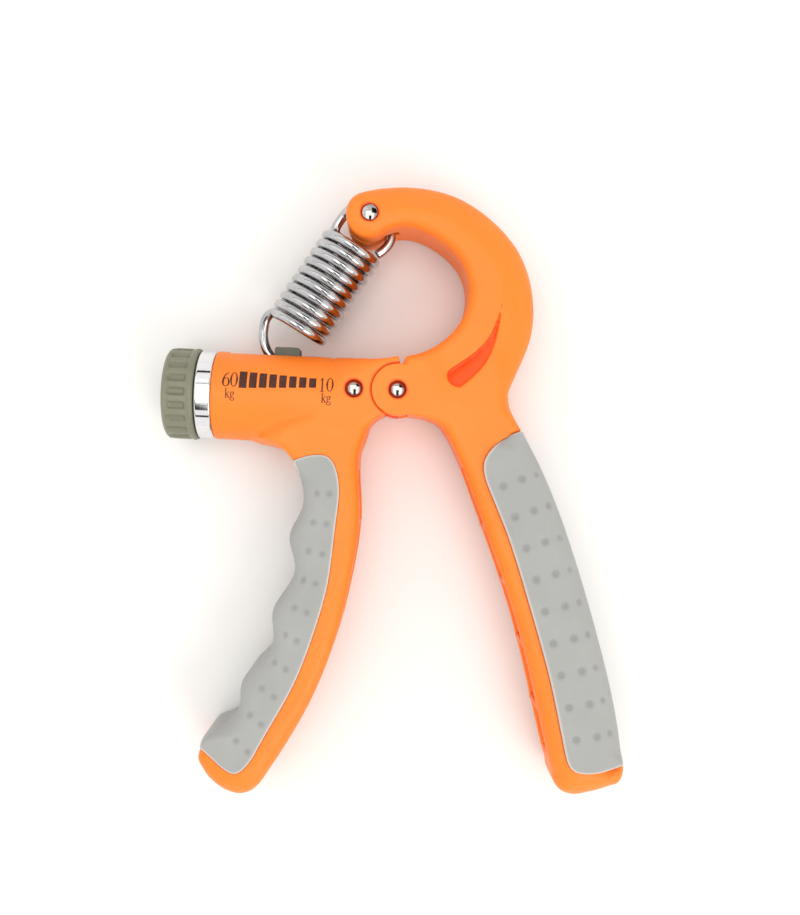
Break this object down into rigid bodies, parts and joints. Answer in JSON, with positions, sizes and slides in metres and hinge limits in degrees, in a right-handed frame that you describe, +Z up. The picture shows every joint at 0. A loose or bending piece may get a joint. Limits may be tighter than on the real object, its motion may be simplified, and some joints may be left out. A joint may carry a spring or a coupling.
{
  "type": "hand grip strengthener",
  "caption": "Hand grip strengthener: two hinged plastic handles with soft grips, a curved arm, a tension spring and a knob that sets its load.",
  "frame": {"origin": "centre of the base of the bounding box, with the part lying on its side", "axes": "+X along the barrel away from the knob, +Y from the handles' ends towards the arm, +Z up, along the pivot pin"},
  "size_m": [0.1204, 0.1558, 0.0236],
  "materials": {
    "orange_plastic": "satin moulded",
    "grey_rubber": "matte, soft",
    "olive_plastic": "satin moulded",
    "chrome": "polished",
    "polished_steel": "polished",
    "spring_wire": "nickel plated",
    "zinc_steel": "zinc plated"
  },
  "bodies": {
    "finger_handle": {"finger_handle": "orange_plastic", "finger_grip": "grey_rubber", "collar": "chrome", "retaining_pin": "polished_steel"},
    "palm_handle": {"palm_handle": "orange_plastic", "palm_grip": "grey_rubber", "pivot_pin": "polished_steel", "spring_pin": "polished_steel"},
    "knob": {"knob": "olive_plastic", "knob_cap": "olive_plastic", "knob_screw": "zinc_steel", "thrust_washer": "zinc_steel", "adjusting_screw": "zinc_steel"},
    "slider": {"slider": "olive_plastic", "slider_nut": "zinc_steel", "slider_cross_pin": "zinc_steel"},
    "spring_top": {"spring_upper_loop": "spring_wire"},
    "spring_middle": {"spring_coils": "spring_wire"},
    "spring_hook": {"spring_lower_hook": "spring_wire"}
  },
  "joints": [
    {"name": "squeeze", "type": "hinge", "parent": "finger_handle", "child": "palm_handle", "pos_m": [-0.001, 0.02592, 0.0118], "axis": [0, 0, -1], "range_deg": [0, 34], "stiffness_Nm_per_rad": 2, "springref_deg": -14.32, "deforming": ["spring_upper_loop", "spring_coils", "spring_lower_hook"]},
    {"name": "knob_turn", "type": "hinge", "parent": "finger_handle", "child": "knob", "pos_m": [-0.056, 0.02307, 0.0118], "axis": [1, 0, 0], "range_deg": [-1456, 1456]},
    {"name": "slider_travel", "type": "slide", "parent": "finger_handle", "child": "slider", "axis": [-1, 0, 0], "range_m": [-0.008, 0.008]},
    {"name": "spring_swing", "type": "hinge", "parent": "palm_handle", "child": "spring_top", "pos_m": [-0.0099, 0.07002, 0.0118], "axis": [0, 0, 1], "range_deg": [-0.5, 14.2]},
    {"name": "spring_stretch", "type": "slide", "parent": "spring_top", "child": "spring_middle", "axis": [-0.6883, -0.7254, 0], "range_m": [-0.0003, 0.0172]},
    {"name": "spring_hook_travel", "type": "slide", "parent": "spring_middle", "child": "spring_hook", "axis": [-0.9988, -0.0481, 0], "range_m": [-0.0081, 0.0081]}
  ],
  "couplings": [
    {"joint": "knob_turn", "follows": "slider_travel", "rad_per_m": 3141.6},
    {"joint": "spring_hook_travel", "follows": "slider_travel", "ratio": 0.991},
    {"joint": "spring_swing", "follows": "squeeze", "ratio": 0.4},
    {"joint": "spring_stretch", "follows": "squeeze", "m_per_rad": 0.028294}
  ]
}
